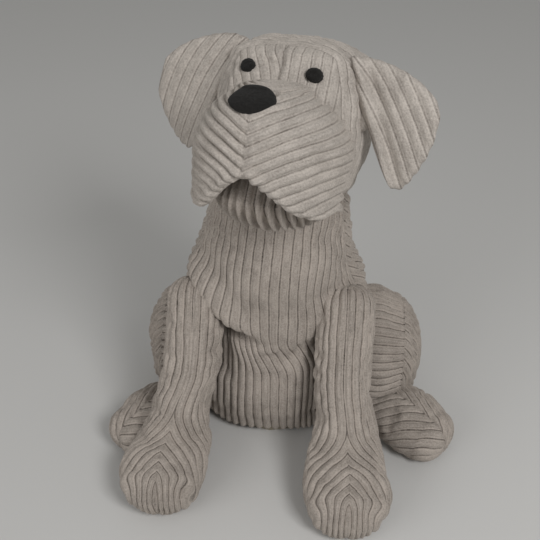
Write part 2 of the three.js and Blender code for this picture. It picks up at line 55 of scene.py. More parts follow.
# Body
BASE_WIDTH, BASE_DEPTH = 120, 116
BELLY_WIDTH, BELLY_DEPTH, BELLY_HEIGHT = 134, 131, 40
WAIST_WIDTH, WAIST_DEPTH, WAIST_HEIGHT = 131, 109, 105
CHEST_WIDTH, CHEST_DEPTH, CHEST_HEIGHT = 109, 108, 142
NECK_WIDTH, NECK_DEPTH, NECK_HEIGHT = 88, 80, 186
NECK_TOP_WIDTH, NECK_TOP_DEPTH, NECK_TOP_HEIGHT = 80, 64, 212
NECK_LEAN, NECK_ASIDE, NECK_TUCK = 18, 8, 12
CHEST_SEAM = [82, 70, 66, 60]      # degrees from the front, from the neck down
CHEST_SEAM_SHIFT = 9               # how much further back its right seam lies
FOLD_HEIGHT, FOLD_RISE_RIGHT, FOLD_RISE_LEFT = 90, 25, 8
FOLD_OVERHANG, FOLD_WALE_SHIFT = 7.5, 14
LEG_HOLLOW_ASIDE, LEG_HOLLOW_DEPTH = 38, 7
SAND_BAG_ROOM = 2.2                # the deepest hollow low down, over the sand bag

# Head
HEAD_ABOVE_NECK, HEAD_FORWARD, HEAD_ASIDE = 35, 29, 14
HEAD_TURN, HEAD_RAISE, HEAD_ROLL = -15, 22, -2.5
HEAD_WIDTH, HEAD_DEPTH = 89, 92
CROWN_HEIGHT, HEAD_DROP = 47, 50
FACE_SEAM, BACK_SEAM = 29, -4
MUZZLE_WIDTH, MUZZLE_REACH, MUZZLE_TOP = 88, 87, 24.5
JOWL_DROP, HEM_SAG, HEM_RISE, HEM_ASIDE = 46, 3.5, 21.5, -1.5
CHIN_WIDTH, CHIN_DEPTH, CHIN_FORWARD, CHIN_DROP = 66, 55, 34, 62
NOSE_WIDTH, NOSE_HEIGHT, NOSE_UP, NOSE_ASIDE = 26, 18.5, 13.6, -1.7
EYE_WIDTH, EYE_HEIGHT, EYE_SPACING = 9.2, 8.2, 39
EYE_UP = {1: 26.8, -1: 28.6}
EYE_TILT, EYE_THICKNESS, EYE_DIMPLE = 15, 2.7, 0.5
NOSE_TILT, NOSE_THICKNESS = 30, 1.8
FACE_SPREAD, FACE_LEAN = 1.15, 24  # how the wales of the face lie closer, and lean on its right half

# Ears
EAR_ROOT_ASIDE, EAR_ROOT_UP, EAR_ROOT_FORWARD = 32, 42, 14.5
EAR_WIDTH, EAR_LENGTH, EAR_BOW = 41, 84, 9
EAR_LEAN = {1: 21, -1: 17}
EAR_TUCK, EAR_SEWN_SHARE = 16, 0.54
EAR_PLEAT = {1: 3.2, -1: 0.96}
EAR_SWEEP = {1: 2, -1: 5}
EAR_PITCH = {1: 0, -1: 18}
EAR_RISE = {1: 0, -1: 7}
EAR_TIP = {1: (0.48, 0.57), -1: (0.43, 0.67)}   # shares of its length where the tip is

# Front legs; 1 is the dog's left side and -1 its right
SHOULDER_HEIGHT, SHOULDER_SPACING, SHOULDER_FORWARD = 116, 104, 42
LEG_DIAMETER, PAW_WIDTH, PAW_HEIGHT = 39, 59, 42
PAW_ASIDE = {1: 59, -1: 68}
PAW_REACH = {1: 154, -1: 146}
PAW_SLANT, TOE_SLANT = 54, 4       # degrees between the wales and the seam up the paw

# Hind legs
THIGH_REACH = {1: 111, -1: 97}
THIGH_DIAMETER, THIGH_HEIGHT = 94, 43
THIGH_SIDE, THIGH_ROUND, THIGH_INNER = 14, 34, 32
HEEL_ASIDE = {1: 76, -1: 62}
HEEL_FORWARD = {1: 30, -1: 38}
FOOT_LENGTH, FOOT_WIDTH, FOOT_HEIGHT = 79, 50, 38
FOOT_TURN = {1: 50, -1: 40}
FOOT_SLANT_OUTER, FOOT_SLANT_INNER = 24, 45

SIDES = {1: "left", -1: "right"}
HALVES = ((0, math.pi), (-math.pi, 0))   # a form's left and right half, from its front seam

# Camera: degrees, metres, and the lens in millimetres
CAMERA_AZIMUTH, CAMERA_ELEVATION, CAMERA_AWAY = 5, 36.5, 0.553
CAMERA_AIM = (-0.002, -0.027, 0.131)
LENS, SENSOR_WIDTH = 53.33, 36


def smooth(value):
    """From 0 to 1 with soft ends."""
    x = np.clip(value, 0, 1)
    return x * x * (3 - 2 * x)


def dip(value, width):
    """1 at zero, fading to nothing over about the width."""
    return np.exp(-((value / width) ** 2))


def lumps(points, size, seed):
    """A soft random field from about -1 to 1, with lumps of the given size."""
    rng = np.random.default_rng(seed)
    total = np.zeros(points.shape[:-1])
    for _ in range(12):
        direction = rng.normal(size=3)
        direction *= math.pi * rng.uniform(0.6, 1.4) / (size * np.linalg.norm(direction))
        total += np.sin(points @ direction + rng.uniform(0, 2 * math.pi))
    return total / 3.5


def turned_about_z(vectors, degrees):
    c, s = np.cos(np.radians(degrees)), np.sin(np.radians(degrees))
    x, y, z = np.moveaxis(vectors, -1, 0)
    return np.stack([c * x - s * y, s * x + c * y, z], axis=-1)


def unit(vectors):
    return vectors / np.maximum(np.linalg.norm(vectors, axis=-1, keepdims=True), 1e-9)


class Form:
    """A stuffed form: rings on sections from its start to its end, with rounded ends.

    A section is x, y, z, half width, front depth, back depth, tilt, turn. Station -1 is the tip of
    the start, 0 to 1 the middle and 2 the tip of the end. Angle 0 on a ring is its front.
    """

    def __init__(self, sections, squareness=2.0, start_cap=0.0, end_cap=0.0, span=(0, 1)):
        self.sections = np.array([(*s, 0, 0)[:8] for s in sections], float)
        self.squareness = squareness
        self.start_cap = start_cap
        self.end_cap = end_cap
        self.span = span

    def section_at(self, share):
        last = len(self.sections) - 1
        index = np.minimum((share * last).astype(int), last - 1)
        t = (share * last - index)[..., None]
        a, b, c, d = (self.sections[np.clip(index + k, 0, last)] for k in (-1, 0, 1, 2))
        t2, t3 = t * t, t * t * t
        return ((2 * t3 - 3 * t2 + 1) * b + (t3 - 2 * t2 + t) * (c - a) / 2
                + (3 * t2 - 2 * t3) * c + (t3 - t2) * (d - b) / 2)

    def points(self, station, angle):
        station, angle = np.broadcast_arrays(station, angle)
        low, high = self.span
        section = self.section_at(low + (high - low) * np.clip(station, 0, 1))
        bend = np.clip(np.maximum(-station, station - 1), 0, 1) * math.pi / 2
        scale = np.cos(bend)
        lift = np.where(station < 0, -self.start_cap, self.end_cap) * np.sin(bend)
        tilt = np.radians(section[..., 6])
        nothing = np.zeros_like(tilt)
        front = np.stack([nothing, -np.cos(tilt), np.sin(tilt)], axis=-1)
        along = np.stack([nothing, -np.sin(tilt), -np.cos(tilt)], axis=-1)
        right = np.stack([nothing + 1, nothing, nothing], axis=-1)
        power = 2 / self.squareness
        depth = np.where(np.cos(angle) > 0, section[..., 4], section[..., 5])
        sideways = section[..., 3] * scale * np.sign(np.sin(angle)) * np.abs(np.sin(angle)) ** power
        forward = depth * scale * np.sign(np.cos(angle)) * np.abs(np.cos(angle)) ** power
        offset = (sideways[..., None] * right + forward[..., None] * front
                  + lift[..., None] * along)
        return section[..., :3] + turned_about_z(offset, section[..., 7])

    def normals(self, station, angle):
        station = np.clip(station, -0.97, 1.97)
        step = 0.003
        down = self.points(station + step, angle) - self.points(station - step, angle)
        across = self.points(station, angle + step) - self.points(station, angle - step)
        return unit(np.cross(down, across))

    def stations(self, first, last, step):
        """Stations whose rings lie about one step apart."""
        fine = np.linspace(first, last, 900)
        gaps = [np.linalg.norm(np.diff(self.points(fine, angle), axis=0), axis=1)
                for angle in (0, math.pi / 2, math.pi)]
        length = np.concatenate([[0], np.cumsum(sum(gaps) / 3)])
        count = max(int(length[-1] / step), 8)
        return np.interp(np.linspace(0, length[-1], count + 1), length, fine)

    def length_down(self, station):
        """How far a station lies from the form's first tip, along its front."""
        fine = np.linspace(-1, 2, 1500)
        gaps = np.linalg.norm(np.diff(self.points(fine, 0.0), axis=0), axis=1)
        return np.interp(station, fine, np.concatenate([[0], np.cumsum(gaps)]))


class Panel:
    """One cloth panel: where it lies, the length q across it and how far its seams are."""

    def __init__(self, form, station, left, right, step):
        left, right = (np.broadcast_to(edge, station.shape) for edge in (left, right))
        fine = np.linspace(0, 1, 140)
        angles = left[:, None] + (right - left)[:, None] * fine
        walk = form.points(station[:, None], angles)
        length = np.cumsum(np.linalg.norm(np.diff(walk, axis=1), axis=2) + 1e-6, axis=1)
        length = np.concatenate([np.zeros((len(station), 1)), length], axis=1)
        share = np.linspace(0, 1, max(int(length.max() / step), 6) + 1)
        self.angle = np.array([np.interp(share * walked[-1], walked, turned)
                               for walked, turned in zip(length, angles)])
        self.station = np.repeat(station[:, None], len(share), axis=1)
        self.q = share[None, :] * length[:, -1:]
        self.width = np.repeat(length[:, -1:], len(share), axis=1)
        self.seam = np.minimum(self.q, self.width - self.q)
        self.points = form.points(self.station, self.angle)
        self.normals = form.normals(self.station, self.angle)
        self.down = form.length_down(self.station)

    def from_front(self, left):
        """The length q counted from the form's front seam, on its half that starts at left."""
        return self.q if left == 0 else self.width - self.q


def wale_profile(count, narrow=1.6):
    """Rounded tops with soft grooves between them."""
    return 1 - (0.5 + 0.5 * np.cos(2 * math.pi * count)) ** narrow


def covered(points, normals, across, along, seam, raised, seed, height, narrow=1.6):
    """The points with their wales raised and their seams drawn in, and the values of the cloth:
    its UV in wales across and along, and how near a seam it is, which the cloth darkens as painted
    shade in the seam's valley."""
    wander = 0.35 * lumps(points, 24, seed) + 0.12 * lumps(points, 8, seed + 1)
    count = (across + wander) / WALE
    fade = smooth((seam + 0.4) / 1.8)
    crushed = 1 + 0.15 * lumps(points, 14, seed + 2)
    rib = height * crushed * (wale_profile(count, narrow) - 1) * fade
    valley = 1.1 * dip(seam, 1.5)
    pucker = 0.2 * np.sin(2 * math.pi * along / 6.5 + 2 * lumps(points, 12, seed + 3))
    body = 0.7 * lumps(points, 34, seed + 4) + 0.15 * lumps(points, 12, seed + 5)
    lift = rib - valley + raised + body * smooth(seam / 12) + pucker * dip(seam - 3.5, 3) * fade
    uv = np.stack([count, along / WALE], axis=-1)
    return points + normals * lift[..., None], uv, 1 - smooth(seam / 1.5)


def grid_mesh(points, uv, seam):
    """A flat grid of the panel's count of rows and columns, moved to its points."""
    rows, columns = points.shape[:2]
    bm = bmesh.new()
    bmesh.ops.create_grid(bm, x_segments=columns - 1, y_segments=rows - 1, size=1)
    mesh = bpy.data.meshes.new("panel")
    bm.to_mesh(mesh)
    bm.free()
    mesh.vertices.foreach_set("co", (points * MM).reshape(-1))
    corner = np.empty(len(mesh.loops), np.int32)
    mesh.loops.foreach_get("vertex_index", corner)
    layer = mesh.uv_layers.new(name="wales")
    layer.data.foreach_set("uv", uv.reshape(-1, 2)[corner].reshape(-1))
    attribute = mesh.attributes.new("seam", "FLOAT", "POINT")
    attribute.data.foreach_set("value", seam.reshape(-1))
    return mesh


def sewn(name, panels, material):
    """One closed piece of panels whose edges meet."""
    bm = bmesh.new()
    for points, uv, seam in panels:
        mesh = grid_mesh(points, uv, seam)
        bm.from_mesh(mesh)
        bpy.data.meshes.remove(mesh)
    bmesh.ops.remove_doubles(bm, verts=bm.verts, dist=0.00003)
    bmesh.ops.recalc_face_normals(bm, faces=bm.faces)
    for face in bm.faces:
        face.smooth = True
    mesh = bpy.data.meshes.new(name)
    bm.to_mesh(mesh)
    bm.free()
    piece = bpy.data.objects.new(name, mesh)
    bpy.context.collection.objects.link(piece)
    mesh.materials.append(material)
    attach(piece, "root")
    return piece


def side_edges(panels):
    """Points along the sewn left and right edges of panels, in millimetres."""
    return np.concatenate([points[:, [0, -1]].reshape(-1, 3) for points, _, _ in panels])


def places_of(mesh):
    """A mesh's vertices as rows of x, y, z, in metres."""
    places = np.empty(len(mesh.vertices) * 3)
    mesh.vertices.foreach_get("co", places)
    return places.reshape(-1, 3)


def tree_of(places):
    """A tree that finds the places nearest to another one."""
    tree = kdtree.KDTree(len(places))
    for index, place in enumerate(places):
        tree.insert(place, index)
    tree.balance()
    return tree


def even_copy(piece):
    """A coarse closed copy of a piece, with cells of one size, as the cloth simulation wants."""
    copy = bpy.data.objects.new("coarse", piece.data.copy())
    bpy.context.scene.collection.objects.link(copy)
    remesh = copy.modifiers.new("even", "REMESH")
    remesh.mode = "VOXEL"
    remesh.voxel_size = CLOTH_CELL * MM
    settled = copy.evaluated_get(bpy.context.evaluated_depsgraph_get())
    mesh = bpy.data.meshes.new_from_object(settled)
    copy.modifiers.clear()
    copy.data = mesh
    return copy


def blown_out(copy):
    """How far each point of a coarse copy moves when its stuffing presses from inside. The cloth is
    cut a little larger than the form, so it creases beside the seams that hold it."""
    start = places_of(copy.data)
    cloth = copy.modifiers.new("cloth", "CLOTH")
    cloth.settings.vertex_group_mass = "sewn"
    cloth.settings.use_pressure = True
    cloth.settings.uniform_pressure_force = CLOTH_PRESSURE
    cloth.settings.shrink_min = -CLOTH_SURPLUS
    cloth.settings.tension_stiffness = CLOTH_STIFFNESS
    cloth.settings.compression_stiffness = CLOTH_STIFFNESS
    cloth.settings.bending_stiffness = CLOTH_BENDING
    cloth.settings.effector_weights.gravity = 0
    cloth.point_cache.frame_start = 1
    cloth.point_cache.frame_end = CLOTH_FRAMES
    for number in range(1, CLOTH_FRAMES + 1):
        bpy.context.scene.frame_set(number)
    settled = copy.evaluated_get(bpy.context.evaluated_depsgraph_get())
    moved = places_of(settled.to_mesh()) - start
    settled.to_mesh_clear()
    bpy.context.scene.frame_set(1)
    return start, moved


def hold_along(copy, sewn_along):
    """Puts the points near a seam in the group that the simulation doesn't move."""
    seams = tree_of(sewn_along * MM)
    held = [index for index, place in enumerate(places_of(copy.data))
            if seams.find(place)[2] < SEWN_BAND * MM]
    copy.vertex_groups.new(name="sewn").add(held, 1.0, "REPLACE")


def carried_over(fine, start, moved):
    """The moves of the coarse points, shared out among the fine ones by their nearness."""
    coarse = tree_of(start)
    carried = np.empty_like(fine)
    for row, place in enumerate(fine):
        near = coarse.find_n(place, 4)
        weights = np.array([1 / (away + 0.5 * MM) ** 2 for _, _, away in near])
        carried[row] = weights @ moved[[index for _, index, _ in near]] / weights.sum()
    return carried


def stuffed(piece, sewn_along):
    """Lets a cloth simulation swell and crease a piece that is held where it is sewn."""
    copy = even_copy(piece)
    hold_along(copy, sewn_along)
    start, moved = blown_out(copy)
    bpy.data.objects.remove(copy)
    fine = places_of(piece.data)
    carried = carried_over(fine, start, moved)
    length = np.linalg.norm(carried, axis=1, keepdims=True)
    fine += carried * np.minimum(1, CLOTH_REACH * MM / np.maximum(length, 1e-9))
    fine[:, 2] = np.maximum(fine[:, 2], 0)
    piece.data.vertices.foreach_set("co", fine.reshape(-1))
    piece.data.update()


def on_floor(points):
    """The points, none of them below the floor."""
    points = points.copy()
    points[..., 2] = np.maximum(points[..., 2], 0)
    return points


def linear(hex_colour):
    """An sRGB hex colour in Blender's linear numbers."""
    parts = [int(hex_colour[k:k + 2], 16) / 255 for k in (1, 3, 5)]
    return [c / 12.92 if c <= 0.04045 else ((c + 0.055) / 1.055) ** 2.4 for c in parts] + [1]


def node(tree, kind, settings=None, inputs=None, links=None):
    """Adds a node with its settings, its input values and the outputs linked to its inputs."""
    added = tree.nodes.new(kind)
    for key, value in (settings or {}).items():
        setattr(added, key, value)
    for key, value in (inputs or {}).items():
        added.inputs[key].default_value = value
    for key, output in (links or {}).items():
        tree.links.new(output, added.inputs[key])
    return added


def material_of(name):
    """A new material with its node tree and its shader."""
    material = bpy.data.materials.new(name)
    material.use_nodes = True
    tree = material.node_tree
    shader = next(added for added in tree.nodes if added.type == "BSDF_PRINCIPLED")
    return material, tree, shader


def corduroy(name, top, dark_pile_and_shade, depth):
    """Cut-pile cotton corduroy, woven and brushed: matt, with painted shade down in the grooves and
    a painted sheen, palest, on both edges of a wale, where the pile would be seen from its side,
    with the pile crushed in places. Its tone runs from the dark colour to top, and the painted
    groove shade is the darker the greater the depth."""
    material, tree, shader = material_of(name)
    uv = node(tree, "ShaderNodeUVMap", {"uv_map": "wales"}).outputs[0]
    split = node(tree, "ShaderNodeSeparateXYZ", links={0: uv})
    phase = node(tree, "ShaderNodeMath", {"operation": "FRACT"}, links={0: split.outputs[0]})
    # The ramp over a wale's phase: painted shade down in the grooves and a painted sheen, palest, on
    # both edges of the wale.
    groove_shade_and_edge_sheen = node(tree, "ShaderNodeValToRGB", links={0: phase.outputs[0]})
    groove_shade_and_edge_sheen.color_ramp.interpolation = "EASE"
    groove_shade_and_edge_sheen.color_ramp.elements[0].color = groove_shade_and_edge_sheen.color_ramp.elements[1].color = (0, 0, 0, 1)
    for where, shade in ((0.05, 0.3), (0.14, 1.0), (0.24, 0.66), (0.76, 0.66), (0.86, 1.0),
                         (0.95, 0.3)):
        groove_shade_and_edge_sheen.color_ramp.elements.new(where).color = (shade, shade, shade, 1)
    place = node(tree, "ShaderNodeTexCoord").outputs["Object"]
    # Pile tufts are about 0.4 mm, too fine to show here, so they are drawn at 1.1 mm
    tufts = node(tree, "ShaderNodeTexNoise", inputs={"Scale": 1 / 0.0011, "Detail": 2.0,
                                                     "Roughness": 0.8}, links={0: place})
    # The pile lies one way in patches of 16 mm, and in streaks along the wales
    brushed = node(tree, "ShaderNodeTexNoise", inputs={"Scale": 1 / 0.016, "Detail": 4.0,
                                                       "Distortion": 0.8}, links={0: place})
    along = node(tree, "ShaderNodeMapping", inputs={"Scale": (3.2, 0.4, 1.0)}, links={0: uv})
    streaks = node(tree, "ShaderNodeTexNoise", inputs={"Scale": 1.6, "Detail": 4.0},
                   links={0: along.outputs[0]})
    seam = node(tree, "ShaderNodeAttribute", {"attribute_name": "seam"})
    # The depth sets how dark the painted groove shade gets.
    tone = node(tree, "ShaderNodeMath", {"operation": "MULTIPLY"}, {1: depth},
                {0: groove_shade_and_edge_sheen.outputs[0]})
    # Pile tufts, streaks and patches mottle the tone, and near a seam it drops: painted shade in the
    # seam's valley.
    for pattern, amount in ((tufts.outputs[0], 1.6), (streaks.outputs[0], 0.8),
                            (brushed.outputs[0], 0.9), (seam.outputs["Fac"], -0.15)):
        tone = node(tree, "ShaderNodeMath", {"operation": "MULTIPLY_ADD"}, {1: amount},
                    {0: pattern, 2: tone.outputs[0]})
    middle, spread = 0.75 * depth + 1.15, 0.8
    share = node(tree, "ShaderNodeMapRange", {},
                 {"From Min": middle - spread, "From Max": middle + spread},
                 {0: tone.outputs[0]})
    shades = node(tree, "ShaderNodeMix", {"data_type": "RGBA"}, links={0: share.outputs[0]})
    shades.inputs["A"].default_value = linear(dark_pile_and_shade)
    shades.inputs["B"].default_value = linear(top)
    tree.links.new(shades.outputs["Result"], shader.inputs["Base Color"])
    bump = node(tree, "ShaderNodeBump", inputs={"Strength": 0.9, "Distance": 0.0008},
                links={"Height": tufts.outputs[0]})
    tree.links.new(bump.outputs[0], shader.inputs["Normal"])
    shader.inputs["Roughness"].default_value = 0.95
    shader.inputs["Specular IOR Level"].default_value = 0.15
    shader.inputs["Sheen Weight"].default_value = 0.35
    shader.inputs["Sheen Roughness"].default_value = 0.45
    shader.inputs["Sheen Tint"].default_value = linear("#e8e0d6")
    return material


def felt(name, colour):
    """Pressed wool felt, dyed black: dull, with short loose fibres."""
    material, tree, shader = material_of(name)
    place = node(tree, "ShaderNodeTexCoord").outputs["Object"]
    # Fibres of 0.03 mm are drawn as clumps of 1.2 mm
    fibres = node(tree, "ShaderNodeTexNoise", inputs={"Scale": 1 / 0.0012, "Detail": 3.0,
                                                      "Roughness": 0.75, "Distortion": 0.6},
                  links={0: place})
    shades = node(tree, "ShaderNodeMix", {"data_type": "RGBA"}, links={0: fibres.outputs[0]})
    shades.inputs["A"].default_value = linear(colour)
    shades.inputs["B"].default_value = linear("#2a2826")
    tree.links.new(shades.outputs["Result"], shader.inputs["Base Color"])
    bump = node(tree, "ShaderNodeBump", inputs={"Strength": 1.0, "Distance": 0.001},
                links={"Height": fibres.outputs[0]})
    tree.links.new(bump.outputs[0], shader.inputs["Normal"])
    shader.inputs["Roughness"].default_value = 0.9
    shader.inputs["Specular IOR Level"].default_value = 0.2
    shader.inputs["Sheen Weight"].default_value = 0.05
    return material


def woven(name, colour, thread):
    """Plain-woven cotton: over and under threads, a little uneven."""
    material, tree, shader = material_of(name)
    place = node(tree, "ShaderNodeTexCoord").outputs["Object"]
    heights = []
    # The bands of a wave texture repeat every 0.314 / Scale
    for direction in ("X", "Y"):
        wave = node(tree, "ShaderNodeTexWave", {"bands_direction": direction},
                    {"Scale": 0.314 / thread, "Distortion": 1.5, "Detail": 2.0}, {0: place})
        heights.append(wave.outputs["Fac"])
    weave = node(tree, "ShaderNodeMath", {"operation": "MULTIPLY"},
                 links={0: heights[0], 1: heights[1]}).outputs[0]
    shades = node(tree, "ShaderNodeMix", {"data_type": "RGBA"}, links={0: weave})
    shades.inputs["A"].default_value = linear("#8d8473")
    shades.inputs["B"].default_value = linear(colour)
    tree.links.new(shades.outputs["Result"], shader.inputs["Base Color"])
    bump = node(tree, "ShaderNodeBump", inputs={"Strength": 0.4, "Distance": 0.0004},
                links={"Height": weave})
    tree.links.new(bump.outputs[0], shader.inputs["Normal"])
    shader.inputs["Roughness"].default_value = 0.9
    return material


# The head's copy of the same corduroy is paler, with shallower painted groove shade: painted light,
# as the head faces the lamps more than the body.
body_cloth = corduroy("Brushed cotton corduroy, body", "#b4aaa1", "#332d28", 1.2)
lit_head_cloth = corduroy("Brushed cotton corduroy, head", "#beb6ae", "#473f39", 0.8)
black_felt = felt("Pressed wool felt, black", "#050505")
base_cotton = woven("Plain-woven cotton, undyed", "#cfc6b4", 0.0009)


def body_section(aside, lean, z, width, depth):
    return (NECK_ASIDE * aside, -NECK_LEAN * lean, z, width / 2, depth / 2, depth / 2)


body_form = Form([
    body_section(1, 1.2, NECK_TOP_HEIGHT + NECK_TUCK, NECK_TOP_WIDTH * 0.95, NECK_TOP_DEPTH * 0.94),
    body_section(0.9, 1.15, NECK_TOP_HEIGHT, NECK_TOP_WIDTH, NECK_TOP_DEPTH),
    body_section(0.5, 0.75, NECK_HEIGHT, NECK_WIDTH, NECK_DEPTH),
    body_section(0.05, 0.4, CHEST_HEIGHT, CHEST_WIDTH, CHEST_DEPTH),
    body_section(0, 0.05, WAIST_HEIGHT, WAIST_WIDTH, WAIST_DEPTH),
    body_section(0, 0, BELLY_HEIGHT, BELLY_WIDTH, BELLY_DEPTH),
    body_section(0, 0, BELLY_HEIGHT / 3, BELLY_WIDTH * 0.98, BELLY_DEPTH * 0.96),
    body_section(0, 0, 0, BASE_WIDTH, BASE_DEPTH),
    body_section(0, 0, -NECK_TUCK, BASE_WIDTH, BASE_DEPTH),
], squareness=2.15, span=(1 / 8, 7 / 8))


def fold_height(x):
    """Where the chest folds over the belly: steep towards the dog's right leg, and less so
    towards its left one."""
    rightwards, leftwards = np.maximum(-x - 6, 0) / 37, np.maximum(x - 14, 0) / 30
    return FOLD_HEIGHT + FOLD_RISE_RIGHT * rightwards ** 1.5 + FOLD_RISE_LEFT * leftwards ** 1.5


def waist_relief(x, z, below):
    """The chest's overhang above the fold, and the hollows below it and beside the legs."""
    at_right, at_left = smooth((-x - 6) / 20), smooth((x - 26) / 16)
    overhang = dip(np.minimum(below + 8, 0), 16) * smooth((4 - below) / 9)
    raised = FOLD_OVERHANG * at_right * overhang + (1.5 + 1.5 * at_left) * dip(below + 14, 14)
    raised -= (0.5 + 8 * at_right + 2.5 * at_left) * dip(below - 5, 11 - 4 * at_right)
    raised -= 4 * at_right * dip(below - 30, 24)
    beside_leg = dip(np.abs(x - 1) - LEG_HOLLOW_ASIDE, 8)
    raised -= LEG_HOLLOW_DEPTH * beside_leg * smooth((below + 2) / 14) * smooth((z - 12) / 20)
    return raised


def body_panel(station, left, right, run, seed):
    panel = Panel(body_form, station, left, right, GRID)
    x, _, z = np.moveaxis(panel.points, -1, 0)
    ahead = smooth(np.cos(panel.angle) * 1.6)
    below = fold_height(x) - z
    deepest = -SAND_BAG_ROOM - 8 * smooth((z - 50) / 14)
    raised = np.maximum(waist_relief(x, z, below) * ahead, deepest)
    raised = raised - 3.5 * np.clip(1 - z / 8, 0, 1) ** 2
    flat = np.clip((panel.station - 1) * 12, 0, 1)
    height = WALE_HEIGHT["body"] + 0.7 * ahead * smooth(below / 15)
    points, uv, seam = covered(panel.points, panel.normals, run(panel, below), panel.down,
                               panel.seam, raised * (1 - flat), seed, height, narrow=2.2)
    points[..., 2] = np.maximum(points[..., 2], 0) * (1 - flat) + 2.6 * flat
    return points, uv, seam


def body():
    station = np.concatenate([body_form.stations(-1, 0, 4)[:-1], body_form.stations(0, 1, GRID * 2),
                              body_form.stations(1, 2, 4)[1:]])
    front = np.radians(np.interp(station, [0, 0.3, 0.55, 1], CHEST_SEAM))
    front_left, front_right = front, front + math.radians(CHEST_SEAM_SHIFT)
    back = math.pi - front

    def chest(panel, below):
        not_at_left = smooth((56 - panel.points[..., 0]) / 40)
        shift = FOLD_WALE_SHIFT * smooth((below + 4) / 32) * not_at_left
        middle = np.array([np.interp(0, angle, q) for angle, q in zip(panel.angle, panel.q)])
        return panel.q - middle[:, None] - shift

    def slanted(panel, _):
        return (panel.q - panel.down) * 0.7

    def slanted_back(panel, _):
        return (panel.width - panel.q - panel.down) * 0.7

    def straight(panel, _):
        return panel.q - panel.width / 2

    panels = [
        body_panel(station, -front_right, front_left, chest, 10),
        body_panel(station, front_left, back, slanted, 20),
        body_panel(station, back, 2 * math.pi - back, straight, 30),
        body_panel(station, 2 * math.pi - back, 2 * math.pi - front_right, slanted_back, 40),
    ]
    piece = sewn("body", panels, body_cloth)
    rim = np.concatenate([points[np.abs(points[:, 0, 2] - SEWN_BAND) < 8].reshape(-1, 3)
                          for points, _, _ in panels])
    stuffed(piece, np.concatenate([side_edges(panels), rim]))
    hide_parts("chest_panel", "back_panel", "side_panel_left", "side_panel_right",
                "body_filling")


def limb(name, panels, sewn_along, parts):
    """A stuffed leg, thigh or foot that stands for the CAD's parts of it."""
    piece = sewn(name, panels, body_cloth)
    stuffed(piece, sewn_along)
    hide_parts(*(f"{name}_{part}" for part in parts))


def leg_form(side):
    """From the shoulder down to the ankle and forward to the toe."""
    shoulder_x = side * SHOULDER_SPACING / 2
    paw_x = side * PAW_ASIDE[side]
    ankle_x = (shoulder_x + paw_x) / 2
    arch_x = (ankle_x + paw_x) / 2
    half, paw, high = LEG_DIAMETER / 2, PAW_WIDTH / 2, PAW_HEIGHT / 2
    end_cap = PAW_HEIGHT * 0.42
    toe = PAW_REACH[side] - end_cap
    knee = SHOULDER_FORWARD + (toe - SHOULDER_FORWARD) * 0.275
    return Form([
        (shoulder_x, -SHOULDER_FORWARD, SHOULDER_HEIGHT, half * 0.95, half * 0.8, half * 0.85, 10),
        (shoulder_x, -knee, SHOULDER_HEIGHT * 0.68, half, half, half, 16),
        (ankle_x, -toe * 0.64, PAW_HEIGHT * 1.3, half * 1.05, half * 0.95, half, 28),
        (arch_x, -toe * 0.76, PAW_HEIGHT * 0.8, paw * 0.87, half * 0.9, half * 1.15, 54),
        (paw_x, -toe * 0.9, high * 1.1, paw, high, high * 1.2, 78),
        (paw_x, -toe, high, paw * 0.9, high * 0.9, high * 1.15, 90),
    ], start_cap=LEG_DIAMETER * 0.36, end_cap=end_cap)


def leg_folds(side, panel):
    """Small creases across the leg's inner side, above the paw."""
    inner = smooth(-side * np.sin(panel.angle) * 2 - 0.6)
    height = panel.points[..., 2]
    ripple = np.sin(2 * math.pi * height / 12 + 2.5 * lumps(panel.points, 30, 48 + side))
    patchy = 0.5 + 0.5 * lumps(panel.points, 26, 47 + side)
    return inner * smooth((height - 45) / 15) * patchy * ripple


def leg(side):
    form = leg_form(side)
    station = form.stations(-1, 2, GRID * 1.15)
    whole = form.length_down(np.array(2.0))
    fine = np.linspace(0, whole, 600)
    swing = np.radians(PAW_SLANT) * smooth((fine / whole - 0.55) / 0.2)
    swing -= np.radians(PAW_SLANT - TOE_SLANT) * smooth((fine / whole - 0.84) / 0.12)
    run_off = np.concatenate([[0], np.cumsum(np.sin(swing[1:]) * np.diff(fine))])
    panels = []
    for left, right in HALVES:
        panel = Panel(form, station, left, right, GRID)
        share = panel.down / whole
        # Over the toe the wales run straight on and under it
        straight = 1.45 * np.abs(panel.points[..., 0] - side * PAW_ASIDE[side])
        q = panel.from_front(left)
        q = q + (straight - q) * smooth((share - 0.7) / 0.24)
        turn = np.interp(panel.down, fine, swing)
        closer = 1 + 0.15 * smooth((share - 0.55) / 0.15)
        across = (q * np.cos(turn) - np.interp(panel.down, fine, run_off)) * closer
        points, uv, seam = covered(panel.points, panel.normals, across, panel.down, panel.seam,
                                   leg_folds(side, panel), seed=50 + 10 * side,
                                   height=WALE_HEIGHT["leg"])
        panels.append((on_floor(points), uv, seam))
    limb(f"front_leg_{SIDES[side]}", panels, side_edges(panels), ("outer", "inner", "filling"))


def thigh_form(side):
    """Upright slices, from inside the body out to the rounded side."""
    half = THIGH_DIAMETER / 2
    edge = THIGH_REACH[side] - THIGH_ROUND

    def slice_at(x, share, lower):
        return (side * x, 0, THIGH_HEIGHT, half * share, half * share, half * lower, 90, side * 90)

    return Form([
        slice_at(edge - THIGH_INNER, 0.79, 0.87),
        slice_at(edge - THIGH_INNER * 0.44, 0.96, 1),
        slice_at(edge, 1, 1.04),
        slice_at(edge + THIGH_ROUND * 0.35, 0.92, 1),
    ], end_cap=THIGH_ROUND * 0.65)


